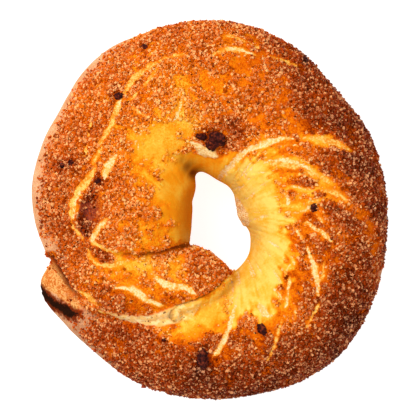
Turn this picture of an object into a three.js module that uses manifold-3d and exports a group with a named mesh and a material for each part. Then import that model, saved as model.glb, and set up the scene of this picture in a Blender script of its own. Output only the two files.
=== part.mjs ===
// A hand-rolled cinnamon sugar bagel, in millimetres, +Z up, lying on its flat base with the origin at
// the middle of its footprint. It is one piece of bread: a rope of dough whose two ends overlap at the
// front left. The rope starts in a thin tail that sticks out on the left and runs once round the hole.
// Its other end comes down the left side, folds over itself and is pressed onto the first one.
import * as THREE from "three";
import { mergeVertices } from "three/addons/utils/BufferGeometryUtils.js";
import Module from "manifold-3d";

const wasm = await Module();
wasm.setup();

// Driving dimensions. The rope's tables below are fitted to the three sizes over the whole bagel.
const LENGTH_X = 113.6; // left to right
const LENGTH_Y = 120.6; // front to back
const HEIGHT = 41.2;
const HOLE = { x: 2.6, y: -3.8 }; // middle of the hole, which lies a little off the middle of the footprint
const BASE_SINK = 1.2; // how much of the rounded underside the oven tray flattens
const WIDEST_AT = 0.42; // the rope is widest at this share of its height
const CROWN_POWER = 2.2; // superellipse power of the domed upper half
const UNDERSIDE_POWER = 3.0; // and of the flatter lower half
const RING_STEPS = 132;
const ROPE_SIDES = 26;
const TRAY_DEPTH = 20; // how far down the block reaches that cuts the base flat

// How the second end and the fold in it are built: the sections along the length, the share of the length
// that each rounded-off end takes, and the superellipse power of the rounding (2 is round, more is blunter).
const END_SHAPE = { steps: 42, capShare: 0.09, bluntness: 2.4 };
const FOLD_SHAPE = { steps: 30, capShare: 0.16, bluntness: 2.8 };

// The rope round the hole: the angle about the hole's middle in degrees, the radii of its inner and outer
// edges, and the height of its crown. From 188 to 280 degrees it is the low first end, under the second one.
const RING_STATIONS = [
  [0, 7.4, 54.0, 37.0],
  [20, 6.8, 55.2, 37.6],
  [40, 8.0, 56.0, 38.2],
  [50, 8.4, 57.0, 38.4],
  [60, 9.9, 59.8, 38.4],
  [75, 11.9, 62.4, 38.2],
  [92, 13.6, 64.3, 38.6],
  [111, 16.6, 64.9, 39.0],
  [125, 12.6, 65.2, 38.6],
  [142, 10.4, 62.8, 37.6],
  [158, 9.8, 61.0, 36.0],
  [171, 10.4, 60.0, 33.0],
  [182, 12.0, 56.6, 28.0],
  [190, 13.0, 54.6, 23.0],
  [194, 13.6, 56.4, 21.4],
  [198, 14.2, 60.6, 20.8],
  [203, 15.0, 61.8, 21.2],
  [213, 16.0, 59.6, 24.0],
  [226, 17.0, 57.7, 28.5],
  [242, 17.6, 57.9, 32.4],
  [260, 17.4, 56.6, 34.8],
  [278, 17.0, 56.0, 36.0],
  [292, 16.2, 56.6, 36.6],
  [308, 14.7, 57.2, 37.0],
  [325, 12.4, 56.2, 36.6],
  [343, 10.2, 54.7, 36.8],
  [360, 7.4, 54.0, 37.0],
];

// The second end of the rope: x and y of its outer edge and of its inner edge, and its underside and crown
// heights. It leaves the ring at the back left, turns round the front left corner and tapers to a tip at
// the hole.
const END_STATIONS = [
  [-26.5, 48.9, -7.0, 14.0, 6.0, 33.0],
  [-38.0, 43.6, -6.2, 6.6, 3.0, 36.8],
  [-46.7, 34.4, -5.6, 3.0, 0.0, 37.8],
  [-53.2, 22.6, -5.5, 0.6, 0.0, 38.2],
  [-56.8, 9.0, -5.6, -2.0, 0.0, 38.4],
  [-56.2, -3.0, -5.8, -4.8, 0.0, 38.4],
  [-53.0, -12.8, -6.1, -8.2, 3.0, 38.0],
  [-47.2, -22.6, -6.2, -10.8, 6.0, 37.6],
  [-37.2, -32.4, -4.4, -11.5, 9.0, 37.4],
  [-21.6, -36.2, -1.8, -12.4, 10.0, 37.4],
  [-8.2, -34.8, 1.4, -14.4, 11.0, 37.0],
  [1.4, -29.6, 4.6, -17.2, 11.0, 36.0],
  [6.4, -22.4, 7.4, -19.6, 12.0, 33.0],
];

// The fold in the second end, measured the same way: the left side of the rope is pushed up into a lobe
// that stops at a crease.
const FOLD_STATIONS = [
  [-31.0, 42.0, -13.0, 22.0, 8.0, 31.0],
  [-39.0, 32.0, -8.6, 15.4, 7.0, 35.2],
  [-44.0, 21.0, -5.6, 10.4, 6.0, 38.2],
  [-46.0, 9.5, -5.6, 4.0, 6.0, 40.4],
  [-46.2, -1.0, -5.9, -3.4, 6.0, 41.3],
  [-44.8, -9.6, -6.3, -9.6, 6.0, 41.0],
  [-40.6, -16.2, -8.0, -14.4, 7.0, 39.6],
];

const SMALLEST = 1e-3; // mm; points closer than this are one vertex

// A smooth curve through the rows of a table. Its parameter is the first column, or the row's number.
function smoothTable(rows, { keyed = false, closed = false } = {}) {
  const keys = rows.map((row, i) => (keyed ? row[0] : i));
  const values = rows.map((row) => (keyed ? row.slice(1) : row));
  const curve = new THREE.CubicInterpolant(keys, values.flat(), values[0].length);
  const ending = closed ? THREE.WrapAroundEnding : THREE.ZeroSlopeEnding;
  curve.settings = { endingStart: ending, endingEnd: ending };
  return (t) => Array.from(curve.evaluate(t));
}

// A signed power, for superellipses.
function rounded(value, power) {
  return Math.sign(value) * Math.abs(value) ** (2 / power);
}

// One section of the rope: a superellipse in the upright plane through its outer and inner edges. scale
// shrinks it about its middle.
function ropeSection({ outer, inner, low, high }, scale = 1) {
  const middle = outer.clone().add(inner).divideScalar(2);
  const half = outer.clone().sub(middle).multiplyScalar(scale);
  const widest = low + WIDEST_AT * (high - low);
  return Array.from({ length: ROPE_SIDES }, (_, i) => {
    const angle = (2 * Math.PI * i) / ROPE_SIDES;
    const upper = Math.sin(angle) > 0;
    const power = upper ? CROWN_POWER : UNDERSIDE_POWER;
    const reach = upper ? high - widest : widest - low;
    const spot = half.clone().multiplyScalar(rounded(Math.cos(angle), power)).add(middle);
    return new THREE.Vector3(spot.x, spot.y, widest + reach * scale * rounded(Math.sin(angle), power));
  });
}

// A solid whose skin runs through a row of sections, which closes on itself or ends in two points.
function skinned(sections, endPoints = null) {
  const points = sections.flat();
  const faces = [];
  const at = (ring, side) => (ring % sections.length) * ROPE_SIDES + (side % ROPE_SIDES);
  const joints = endPoints ? sections.length - 1 : sections.length;
  for (let ring = 0; ring < joints; ring++)
    for (let side = 0; side < ROPE_SIDES; side++) {
      const [a, b] = [at(ring, side), at(ring + 1, side)];
      const [c, d] = [at(ring + 1, side + 1), at(ring, side + 1)];
      faces.push([a, b, c], [a, c, d]);
    }
  if (endPoints) {
    const first = points.push(endPoints[0]) - 1;
    const last = points.push(endPoints[1]) - 1;
    for (let side = 0; side < ROPE_SIDES; side++) {
      faces.push([first, at(0, side), at(0, side + 1)]);
      faces.push([last, at(sections.length - 1, side + 1), at(sections.length - 1, side)]);
    }
  }
  return solidOf(new THREE.BufferGeometry().setFromPoints(points).setIndex(faces.flat()));
}

// A closed three.js geometry as a solid with its faces pointing out.
function solidOf(geometry) {
  geometry.deleteAttribute("normal");
  geometry.deleteAttribute("uv");
  const merged = mergeVertices(geometry, SMALLEST);
  const build = (triVerts) =>
    new wasm.Manifold(
      new wasm.Mesh({ numProp: 3, vertProperties: merged.attributes.position.array, triVerts }),
    );
  const triVerts = new Uint32Array(merged.index.array);
  const solid = build(triVerts);
  return solid.volume() > 0 ? solid : build(triVerts.reverse());
}

// The rope once round the hole, closed on itself.
function ring() {
  const station = smoothTable(RING_STATIONS, { keyed: true, closed: true });
  const sections = Array.from({ length: RING_STEPS }, (_, i) => {
    const degrees = (360 * i) / RING_STEPS;
    const [innerRadius, outerRadius, high] = station(degrees);
    const angle = THREE.MathUtils.degToRad(degrees);
    const edge = (radius) =>
      new THREE.Vector2(HOLE.x + radius * Math.cos(angle), HOLE.y + radius * Math.sin(angle));
    return ropeSection({ outer: edge(outerRadius), inner: edge(innerRadius), low: -BASE_SINK, high });
  });
  return skinned(sections);
}

// A length of rope through a table of stations, with both of its ends rounded off.
function ropeEnd(stations, { steps, capShare, bluntness }) {
  const table = smoothTable(stations);
  const last = stations.length - 1;
  const place = (share) => {
    const [outerX, outerY, innerX, innerY, low, high] = table(share * last);
    return { outer: new THREE.Vector2(outerX, outerY), inner: new THREE.Vector2(innerX, innerY), low, high };
  };
  const scaleAt = (share) => {
    const inside = Math.min(share, 1 - share) / capShare;
    return inside >= 1 ? 1 : (1 - (1 - inside) ** bluntness) ** (1 / bluntness);
  };
  // Sections lie closer together towards the two ends, where the rounding is.
  const shareOf = (step) => (1 - Math.cos((Math.PI * step) / steps)) / 2;
  const shares = Array.from({ length: steps - 1 }, (_, i) => shareOf(i + 1));
  const sections = shares.map((share) => ropeSection(place(share), scaleAt(share)));
  const tips = [0, 1].map((share) => {
    const { outer, inner, low, high } = place(share);
    const middle = outer.add(inner).divideScalar(2);
    return new THREE.Vector3(middle.x, middle.y, low + WIDEST_AT * (high - low));
  });
  return skinned(sections, tips);
}

// Everything below the tray's surface, which flattens the underside.
function belowTray() {
  const box = new THREE.BoxGeometry(2 * LENGTH_X, 2 * LENGTH_Y, TRAY_DEPTH);
  return solidOf(box.translate(0, 0, -TRAY_DEPTH / 2));
}

// The solid stretched to the driving dimensions, standing on z = 0 with the middle of its footprint at
// the origin.
function fitted(solid) {
  const { min, max } = solid.boundingBox();
  const scale = [LENGTH_X, LENGTH_Y, HEIGHT].map((length, axis) => length / (max[axis] - min[axis]));
  const toOrigin = [-(min[0] + max[0]) / 2, -(min[1] + max[1]) / 2, -min[2]];
  return solid.translate(toOrigin).scale(scale);
}

function bagelSolid() {
  const secondEnd = ropeEnd(END_STATIONS, END_SHAPE);
  const fold = ropeEnd(FOLD_STATIONS, FOLD_SHAPE);
  return fitted(ring().add(secondEnd).add(fold).subtract(belowTray()));
}

// A solid as a geometry that three.js can draw.
function geometryOf(solid) {
  const { vertProperties, triVerts } = solid.getMesh();
  const geometry = new THREE.BufferGeometry();
  geometry.setAttribute("position", new THREE.BufferAttribute(vertProperties, 3));
  geometry.setIndex(new THREE.BufferAttribute(triVerts, 1));
  geometry.computeVertexNormals();
  return geometry;
}

const crust = new THREE.MeshStandardMaterial({ color: 0xc8732c, roughness: 0.55, metalness: 0 });
const bagel = new THREE.Mesh(geometryOf(bagelSolid()), crust);
bagel.name = "bagel";

const part = new THREE.Group();
part.add(bagel);
export default part;
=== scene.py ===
"""A hand-rolled cinnamon sugar bagel, seen from straight above on a pale floor.

The crust is one fine mesh of the same rope of dough as the CAD solid. Its marks, such as tears and pits, lie
at the pixels where the photograph shows them. Each leaves relief in the mesh and a mask for its material.
Sugar crystals, cinnamon grains and burnt cinnamon chips are meshes of their own.
"""
import math

import bmesh
import bpy
import numpy as np
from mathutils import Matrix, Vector


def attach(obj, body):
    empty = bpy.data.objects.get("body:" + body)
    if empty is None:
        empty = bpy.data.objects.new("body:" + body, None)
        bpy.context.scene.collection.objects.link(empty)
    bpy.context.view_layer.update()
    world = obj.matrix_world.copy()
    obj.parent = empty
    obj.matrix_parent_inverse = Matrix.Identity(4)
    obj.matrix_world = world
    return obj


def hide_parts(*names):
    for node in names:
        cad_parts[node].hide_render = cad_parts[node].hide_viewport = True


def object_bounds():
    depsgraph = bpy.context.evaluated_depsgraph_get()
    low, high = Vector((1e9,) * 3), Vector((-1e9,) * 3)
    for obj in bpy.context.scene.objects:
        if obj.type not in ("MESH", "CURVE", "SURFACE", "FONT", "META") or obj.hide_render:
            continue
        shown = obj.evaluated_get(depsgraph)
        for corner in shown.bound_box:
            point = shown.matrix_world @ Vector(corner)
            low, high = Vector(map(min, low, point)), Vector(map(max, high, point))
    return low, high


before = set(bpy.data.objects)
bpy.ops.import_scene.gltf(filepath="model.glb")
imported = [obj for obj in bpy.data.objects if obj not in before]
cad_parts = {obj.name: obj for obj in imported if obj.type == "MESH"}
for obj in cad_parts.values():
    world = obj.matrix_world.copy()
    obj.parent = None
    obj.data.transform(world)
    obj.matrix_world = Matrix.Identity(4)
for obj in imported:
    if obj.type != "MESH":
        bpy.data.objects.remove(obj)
cad_low, cad_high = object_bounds()

MM = 0.001  # metres; the shapes are worked out in millimetres

# The view: straight down, so that a pixel of the photograph is PIXEL mm at the bagel's widest level.
PHOTO_SIDE = 420  # pixels
PIXEL = 0.32  # mm
BAGEL_PIXEL = np.array([209.5, 209.5])  # the pixel that shows the middle of the footprint
HOLE_PIXEL = np.array([218.0, 222.0])
EYE = 700.0  # mm above the floor
WAIST = 17.0  # mm above the floor, where the bagel is widest

# The rope, as in the CAD solid. Its stations round the hole: angle, inner and outer radius, crown height.
HOLE = np.array([2.6, -3.8])  # mm
BASE_SINK = 1.2  # mm of the rounded underside that the oven tray flattens
WIDEST_AT = 0.42  # the rope is widest at this share of its height
CROWN_POWER, UNDERSIDE_POWER = 2.2, 3.0  # superellipse powers of its upper and its lower half
RING_STATIONS = [
    (0, 7.4, 54, 37), (20, 6.8, 55.2, 37.6), (40, 8, 56, 38.2), (50, 8.4, 57, 38.4), (60, 9.9, 59.8, 38.4),
    (75, 11.9, 62.4, 38.2), (92, 13.6, 64.3, 38.6), (111, 16.6, 64.9, 39), (125, 12.6, 65.2, 38.6),
    (142, 10.4, 62.8, 37.6), (158, 9.8, 61, 36), (171, 10.4, 60, 33), (182, 12, 56.6, 28),
    (190, 13, 54.6, 23), (194, 13.6, 56.4, 21.4), (198, 14.2, 60.6, 20.8), (203, 15, 61.8, 21.2),
    (213, 16, 59.6, 24), (226, 17, 57.7, 28.5), (242, 17.6, 57.9, 32.4), (260, 17.4, 56.6, 34.8),
    (278, 17, 56, 36), (292, 16.2, 56.6, 36.6), (308, 14.7, 57.2, 37), (325, 12.4, 56.2, 36.6),
    (343, 10.2, 54.7, 36.8), (360, 7.4, 54, 37),
]
# Of the second end and of the fold in it: outer edge, inner edge, underside and crown height.
END_STATIONS = [
    (-26.5, 48.9, -7, 14, 6, 33), (-38, 43.6, -6.2, 6.6, 3, 36.8), (-46.7, 34.4, -5.6, 3, 0, 37.8),
    (-53.2, 22.6, -5.5, 0.6, 0, 38.2), (-56.8, 9, -5.6, -2, 0, 38.4), (-56.2, -3, -5.8, -4.8, 0, 38.4),
    (-53, -12.8, -6.1, -8.2, 3, 38), (-47.2, -22.6, -6.2, -10.8, 6, 37.6),
    (-37.2, -32.4, -4.4, -11.5, 9, 37.4), (-21.6, -36.2, -1.8, -12.4, 10, 37.4),
    (-8.2, -34.8, 1.4, -14.4, 11, 37), (1.4, -29.6, 4.6, -17.2, 11, 36), (6.4, -22.4, 7.4, -19.6, 12, 33),
]
FOLD_STATIONS = [
    (-31, 42, -13, 22, 8, 31), (-39, 32, -8.6, 15.4, 7, 35.2), (-44, 21, -5.6, 10.4, 6, 38.2),
    (-46, 9.5, -5.6, 4, 6, 40.4), (-46.2, -1, -5.9, -3.4, 6, 41.3), (-44.8, -9.6, -6.3, -9.6, 6, 41),
    (-40.6, -16.2, -8, -14.4, 7, 39.6),
]
END_CAP = (0.09, 2.4)  # share of the length that is rounded off at each end, and how bluntly
FOLD_CAP = (0.16, 2.8)
RING_STEPS, ROPE_STEPS, ROPE_SIDES = 480, 220, 120
VOXEL = 0.5  # mm, of the remesh that joins the three lengths
RELAX_ROUNDS = 4
PROUD = 0.55  # mm that the relief and the sugar stand out, which the crust is drawn in by

# Stretch marks, smooth dough where the crust has split: each is a path of pixels and widths in pixels. The
# pale ones opened late in the oven, and the golden ones early.
PALE_MARKS = [
    [(118, 153, 4), (112, 160, 8), (107, 168, 8), (104, 178, 3)],
    [(80, 192, 2), (76, 201, 3.5), (74, 210, 3), (73, 220, 1.5)],
    [(121, 97, 3), (119, 104, 4), (117, 111, 2)],
    [(132, 107, 1.5), (139, 112, 3.5), (147, 116, 2)],
    [(181, 98, 1.5), (180, 108, 3), (177, 116, 3), (172, 122, 1.5)],
    [(126, 149, 2), (125, 160, 1.5)],
    [(137, 136, 2), (132, 157, 1.5)],
    [(142, 128, 1.5), (139, 141, 2), (138, 150, 1)],
    [(219, 179, 5), (224, 173, 6.5), (230, 167, 6.5), (236, 160, 6), (243, 153, 6.5), (250, 149, 7),
     (262, 145, 8), (270, 141.5, 7), (278, 139.5, 6), (286, 138, 4.5), (294, 138.5, 2)],
    [(277, 147.5, 1.5), (284, 146, 2), (292, 145, 2.5), (298, 146, 1.5)],
    [(264, 163, 3), (274, 161, 4), (284, 160, 4), (294, 162, 5), (302, 164.5, 5), (308, 167.5, 4),
     (312, 169, 1.5)],
    [(243, 174, 1.5), (254, 173, 2.5), (262, 173, 2.5), (268, 172, 1)],
    [(243, 181, 1.5), (251, 178.5, 2.5), (260, 176, 1)],
    [(232, 190, 1.5), (240, 187, 2.5), (248, 184, 1)],
    [(250, 221, 1.5), (258, 218.5, 3), (268, 216, 1.5)],
    [(291, 186.5, 2), (298, 188, 3.5), (306, 189.5, 3.5), (314, 190.5, 2)],
    [(286, 196, 2), (288, 201, 4), (286, 206, 2)],
    [(283, 213, 1.5), (290, 212.5, 2), (300, 212.5, 2.5), (307, 208.5, 4), (311, 206, 2)],
    [(316, 210, 1.5), (317, 214, 3), (320, 219, 3.5), (323, 223, 1.5)],
    [(305, 221, 1.5), (310, 225, 4.5), (315, 228.5, 5), (320, 231, 5), (326, 235, 5), (331, 240, 2)],
    [(334, 222, 2), (336, 228, 3), (339, 235, 2)],
    [(293, 226, 1.5), (297, 232, 3), (301, 239, 2)],
    [(307, 247, 2), (309.5, 254, 5.5), (312, 262, 7), (314.5, 270, 7), (317, 279, 7), (318, 288, 6),
     (318, 297, 2)],
    [(290, 276, 1.5), (289, 283, 2.5), (288, 290, 2), (287.5, 298, 3), (286.5, 305, 2.5), (284, 309, 1.5)],
    [(274, 288, 1.5), (277, 292, 3.5), (281, 297, 2.5), (284, 299, 1.5)],
    [(291, 256, 1.5), (293, 261, 3), (295, 265, 1.5)],
    [(295, 306, 1.5), (295.5, 313, 1.5), (295, 320, 1.5)],
    [(258, 303, 4), (262, 309, 8), (266, 315, 7), (275, 316, 3)],
    [(239, 290, 1.5), (237, 297, 3), (235, 306, 4), (232, 316, 5), (230, 324, 5), (227, 333, 5.5),
     (223, 342, 6.5), (218, 351, 5), (213, 357, 2)],
    [(113, 289, 1.5), (122, 288, 4), (131, 289, 7), (139, 293.5, 7.5), (146, 300, 6.5), (154, 304, 5),
     (164, 306, 1.5)],
    [(150, 273, 1.5), (156, 277, 4), (164, 283, 7), (174, 286, 7.5), (184, 288, 6), (191, 291, 5.5),
     (197, 295, 1.5)],
    [(106, 222, 2), (100, 226, 4), (95, 232, 5), (91, 240, 4)],
    [(231, 48, 3), (243, 50, 4), (253, 53, 2)],
]
GOLDEN_MARKS = [
    [(184, 53, 1.5), (172, 56, 2.5), (162, 59, 3), (149, 66, 4.5), (138, 74, 5.5), (130, 83, 6),
     (124, 94, 3.5)],
    [(157, 69, 1.5), (147, 81, 3), (138, 92, 3.5), (130, 99, 2)],
    [(120, 100, 5), (116, 110, 7), (112, 122, 5.5), (106, 134, 4), (98, 146, 2)],
    [(101, 148, 3), (97, 155, 4), (93, 162, 2)],
    [(91, 121, 1.5), (88, 136, 2), (85, 155, 1.5)],
    [(213, 54, 2), (221, 50, 4), (231, 48, 5), (243, 50, 5.5), (256, 54, 3)],
    [(272, 56, 1.5), (285, 60, 3), (297, 65, 2)],
    [(226, 34, 1.5), (242, 39, 2), (259, 47, 1.5)],
    [(301, 141, 1.5), (305, 138.5, 3), (315, 138.5, 5), (325, 139.5, 5.5), (335, 142.5, 6.5), (342, 146, 4),
     (349, 149, 2)],
    [(266, 164, 4), (280, 164, 6), (292, 165, 7), (302, 167, 5), (309, 168, 2)],
    [(296, 175, 2), (304, 173, 3.5), (312, 173.5, 6), (318, 175.5, 5), (324, 178.5, 3.5), (329, 182, 1.5)],
    [(322, 190.5, 2), (330, 191.5, 4), (338, 195, 4), (346, 200, 3)],
    [(309, 202, 2), (318, 200, 3), (327, 197, 2)],
    [(290, 264, 2), (287, 269, 2.5), (285, 274, 1.5)],
    [(325, 261, 1.5), (324, 268, 1.5), (322.5, 276, 2), (322, 281, 1.5)],
    [(320, 301, 2), (317, 308, 3.5), (313, 315, 3), (309, 323, 2.5), (306, 328, 1.5)],
    [(282, 320, 2), (279, 330, 3), (276, 340, 3.5), (274, 348, 3.5), (271, 355, 3), (267, 361, 1.5)],
    [(96, 165, 2), (91, 174, 5), (85, 183, 7.5), (79, 191, 8), (74, 200, 7), (71.5, 211, 5.5), (71, 222, 3)],
    [(71, 224, 3), (76, 231, 4), (81, 238, 4), (85, 246, 2)],
    [(86, 248, 2), (90, 256, 3), (96, 263, 4), (105, 266, 4.5), (116, 264, 3.5), (128, 261, 1.5)],
    [(106, 220, 4), (100, 227, 5.5), (95, 234, 5.5), (92, 241, 5), (97, 244, 3.5), (105, 249, 3),
     (115, 253, 2)],
    [(98, 311, 1.5), (108, 315, 2.5), (120, 318, 2)],
    [(77, 291, 1.5), (84, 294, 4), (91, 300, 4.5), (97, 308, 2.5)],
]
# Creases where dough presses on dough, the lump on the hole's wall and the flap above it, as paths too.
# The creases' dark lines are painted shadow, where one rope lies over the other.
SEAMS = [
    [(124, 256, 1), (138, 256, 1.6), (152, 255, 2.2), (166, 252, 2.6), (180, 248, 2.6), (191, 244, 2.4)],
    [(176, 307, 1), (190, 303, 1.6), (204, 297, 2.2), (214, 291, 2.6), (222, 284, 2.6), (230, 274, 2.2)],
    [(50, 258, 4), (56, 267, 6), (63, 278, 6), (70, 289, 4.5), (80, 299, 2)],
]
HOLE_LUMP = [(237, 199, 4), (240, 207, 7), (243, 215, 10), (246, 223, 7)]
FLAP = [(190, 141.5, 2.5), (195, 144, 6), (201, 149, 8.5), (207, 153, 9), (212, 155, 7), (217, 156, 2.5)]
BUBBLE = (176, 316, 5.5)  # x, y and radius in pixels
# The hollow where two lengths of rope meet at the hole: x, y and radius in pixels, and how deep.
# Each dip is also painted darker, as painted shade in the crease.
HOLLOW = [(196, 174, 7, 1), (190, 168, 7, 0.8), (183, 161, 6, 0.4), (176, 158, 6, 0.15)]

# Outlines in pixels: the torn crumb along the second end, the pit between fold and strand, and the bare dough
# and the char on the tail.
CRUMB = [
    (100, 312), (120, 315), (140, 316), (156, 313), (170, 308), (186, 304), (198, 300), (208, 295),
    (204, 303), (200, 311), (192, 318), (180, 323), (164, 326), (148, 326), (134, 323), (117, 319),
]
POCKET = [
    (96, 183), (88, 191), (81, 201), (76.5, 216), (76.5, 224), (82, 236), (86.5, 239), (90, 236), (91, 228),
    (103, 221), (105, 213), (101, 203), (98, 192),
]
TAIL = [
    (49, 261), (56, 270), (62, 279), (70, 290), (79, 301), (84, 309), (74, 310), (62, 300), (50, 292),
    (36, 286), (34, 276), (44, 264),
]
CHAR = [
    (33, 277), (37, 281), (44, 290), (52, 298), (61, 303), (70, 307), (78, 313), (74, 319), (66, 317),
    (58, 311), (48, 304), (40, 297), (33, 292),
]
# Where marks change, from and to, in pixels from the photograph's left edge.
CRUMB_THINS, CRUMB_RIPENS = (188, 210), (148, 192)
PIT_FADES, PIT_RISES = (84, 104), (82, 102)
# The same, in pixels from the hole's middle.
WRINKLES_START, HOLE_WALL_ENDS, SIDE_STARTS = (20, 30), (38, 52), (80, 100)

# Outlines in pixels of regions with their own browning, sugar and softness of edge in pixels.
REGIONS = [
    ([(188, 243), (197, 245), (207, 251), (232, 272), (219, 290), (206, 298), (188, 305), (166, 309),
      (140, 314), (116, 315), (98, 310), (88, 296), (86, 278), (96, 262), (120, 258), (150, 256), (172, 251)],
      0.41, 0.58, 5),
    ([(90, 286), (104, 284), (118, 290), (132, 298), (148, 307), (150, 314), (124, 315), (104, 312),
      (92, 300)], 0.6, 0.8, 4),
    ([(150, 287), (162, 291), (176, 295), (191, 298), (184, 304), (168, 309), (158, 300)], 0.54, 0.7, 3),
    ([(196, 157), (222, 159), (236, 152), (236, 160), (222, 178), (204, 174), (194, 168)], 0.21, 0, 4),
    ([(150, 327), (180, 329), (198, 321), (216, 302), (234, 300), (230, 328), (214, 337), (190, 339),
      (166, 337)], 0.26, 0.3, 6),
    ([(172, 324), (192, 314), (206, 302), (220, 290), (236, 284), (234, 304), (224, 320), (204, 328),
      (186, 330)], 0.1, 0.12, 6),
    ([(262, 150), (290, 148), (304, 156), (318, 168), (332, 183), (348, 200), (344, 206), (322, 201),
      (318, 207), (300, 215), (284, 215), (276, 195), (270, 170)], 0.21, 0.3, 3),
    ([(238, 142), (250, 134), (266, 132), (282, 134), (276, 138), (262, 141), (250, 146), (240, 152)], 0.38,
      0.36, 3),
    ([(132, 136), (150, 128), (170, 118), (188, 118), (196, 130), (192, 148), (172, 160), (152, 164),
      (138, 162)], 0.27, 0.26, 8),
    ([(276, 144), (292, 142), (302, 143), (310, 150), (313, 160), (300, 158), (286, 156), (274, 156),
      (278, 150), (290, 147)], 0.47, 0.36, 2),
    ([(270, 168), (284, 169), (305, 169), (300, 173), (286, 174), (272, 173)], 0.46, 0.4, 2),
    ([(288, 176), (298, 175), (311, 177), (317, 184), (311, 188), (296, 186), (287, 182)], 0.6, 0.85, 2),
    ([(290, 190), (304, 193), (316, 198), (306, 202), (294, 202), (288, 196)], 0.4, 0.55, 2),
    ([(314, 193), (322, 192), (328, 195), (322, 198), (315, 197)], 0.6, 0.6, 2),
    ([(304, 214), (310, 213), (318, 218), (324, 227), (316, 227), (308, 221)], 0.6, 0.8, 2),
    ([(322, 202), (332, 200), (344, 207), (353, 220), (350, 232), (338, 224), (326, 212)], 0.68, 0.95, 3),
    ([(116, 258), (150, 257), (162, 262), (152, 270), (130, 271), (114, 266)], 0.17, 0.24, 5),
    ([(150, 262), (180, 254), (189, 256), (186, 272), (176, 279), (158, 274)], 0.27, 0.4, 6),
    ([(189, 254), (197, 248), (206, 252), (231, 272), (219, 289), (208, 297), (199, 297), (191, 286),
      (187, 270)], 0.52, 0.92, 4),
    ([(92, 247), (99, 246), (107, 251), (113, 258), (108, 262), (100, 260), (94, 254)], 0.66, 1, 2),
    ([(227, 120), (238, 119), (244, 132), (243, 140), (236, 138), (230, 132)], 0.68, 0.95, 3),
    ([(224, 138), (233, 136), (240, 142), (234, 149), (224, 147)], 0.54, 0.7, 3),
    ([(299, 134), (316, 133), (332, 136), (346, 143), (352, 151), (340, 150), (326, 145), (312, 143),
      (300, 142)], 0.2, 0.42, 3),
    ([(344, 206), (356, 206), (368, 222), (372, 240), (362, 246), (350, 232)], 0.74, 0.7, 4),
    ([(326, 186), (344, 192), (360, 204), (369, 218), (364, 222), (348, 208), (332, 199)], 0.42, 0.38, 4),
    ([(363, 214), (370, 216), (377, 230), (380, 244), (374, 256), (369, 246), (366, 228)], 0.56, 0.36, 3),
]
# Small pits with a dark chip in each: x, y, half length, half width in pixels, and the turn of the length.
CHIP_PITS = [
    (215.5, 140, 10.2, 8.8, 75), (202.5, 137.5, 5.5, 4, -15), (117, 96, 5.5, 3.6, 15), (98, 180, 3.8, 3.2, 0),
    (62, 166, 3.4, 3, 40), (72, 162, 3.2, 2.6, 0), (144, 46, 3.4, 2.6, -30), (261, 329.5, 7.2, 4.4, -60),
    (203, 361, 6.4, 9.6, 0), (313.5, 209.5, 4.6, 3.2, 80), (306, 60, 3.6, 2.4, 30), (164, 341, 2.6, 2, 0),
]
# Clumps of stuck sugar: x, y and radius in pixels.
SUGAR_CLUMPS = [
    (145, 108, 6), (173, 118, 6), (111, 145, 6), (121, 136, 4), (238, 132, 7), (243, 126, 4), (103, 55, 3),
    (160, 186, 5), (159, 211, 5), (158, 227, 4), (110, 92, 6), (60, 160, 5), (232, 60, 4), (318, 200, 7),
    (196, 258, 5), (206, 262, 8), (218, 268, 7), (286, 215, 4), (292, 268, 5), (277, 302, 5), (214, 278, 6),
    (106, 232, 5), (118, 330, 6), (100, 338, 6), (330, 95, 5), (150, 232, 4), (210, 66, 5), (150, 60, 4),
]
# Round the hole, by angle from +X: radius in pixels where the golden dough ends; browning of that dough, just
# past it and at the rim, from 0 golden to 1 burnt; the share of the way out where browning sets in; how thick
# sugar lies past the golden dough and at the rim, from 0 to 1; the height in mm of the bare side's top.
AROUND = [
    (0, 68, 0.08, 0.44, 0.76, 0.5, 0.56, 0.86, 20), (20, 72, 0.08, 0.44, 0.76, 0.46, 0.52, 0.86, 16),
    (38, 76, 0.09, 0.48, 0.78, 0.54, 0.56, 0.86, 22), (55, 84, 0.09, 0.46, 0.76, 0.62, 0.48, 0.84, 24),
    (66, 74, 0.1, 0.46, 0.7, 0.74, 0.46, 0.82, 20), (75, 60, 0.14, 0.5, 0.65, 0.84, 0.5, 0.82, 14),
    (92, 58, 0.18, 0.44, 0.52, 0.8, 0.6, 0.8, 18), (108, 68, 0.2, 0.36, 0.47, 0.6, 0.64, 0.8, 22.5),
    (125, 84, 0.22, 0.35, 0.48, 0.5, 0.66, 0.84, 27), (142, 84, 0.24, 0.38, 0.48, 0.4, 0.66, 0.86, 28),
    (160, 60, 0.28, 0.38, 0.56, 0.5, 0.58, 0.88, 28.5), (178, 54, 0.28, 0.38, 0.59, 0.6, 0.57, 0.9, 29),
    (198, 46, 0.28, 0.41, 0.6, 0.6, 0.57, 0.88, 27.5), (207, 40, 0.24, 0.44, 0.58, 0.6, 0.6, 0.84, 19),
    (216, 34, 0.22, 0.48, 0.62, 0.6, 0.62, 0.8, 22), (232, 40, 0.16, 0.53, 0.73, 0.52, 0.5, 0.78, 19),
    (246, 72, 0.14, 0.56, 0.72, 0.56, 0.5, 0.82, 19), (258, 88, 0.16, 0.6, 0.78, 0.58, 0.54, 0.88, 16),
    (282, 100, 0.08, 0.6, 0.78, 0.56, 0.62, 0.9, 14), (300, 98, 0.08, 0.52, 0.8, 0.52, 0.56, 0.9, 14),
    (315, 92, 0.08, 0.53, 0.8, 0.45, 0.56, 0.86, 15), (330, 80, 0.08, 0.58, 0.79, 0.45, 0.56, 0.8, 19),
    (345, 72, 0.08, 0.51, 0.75, 0.5, 0.54, 0.82, 22), (360, 68, 0.08, 0.44, 0.76, 0.5, 0.56, 0.86, 20),
]
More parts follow.
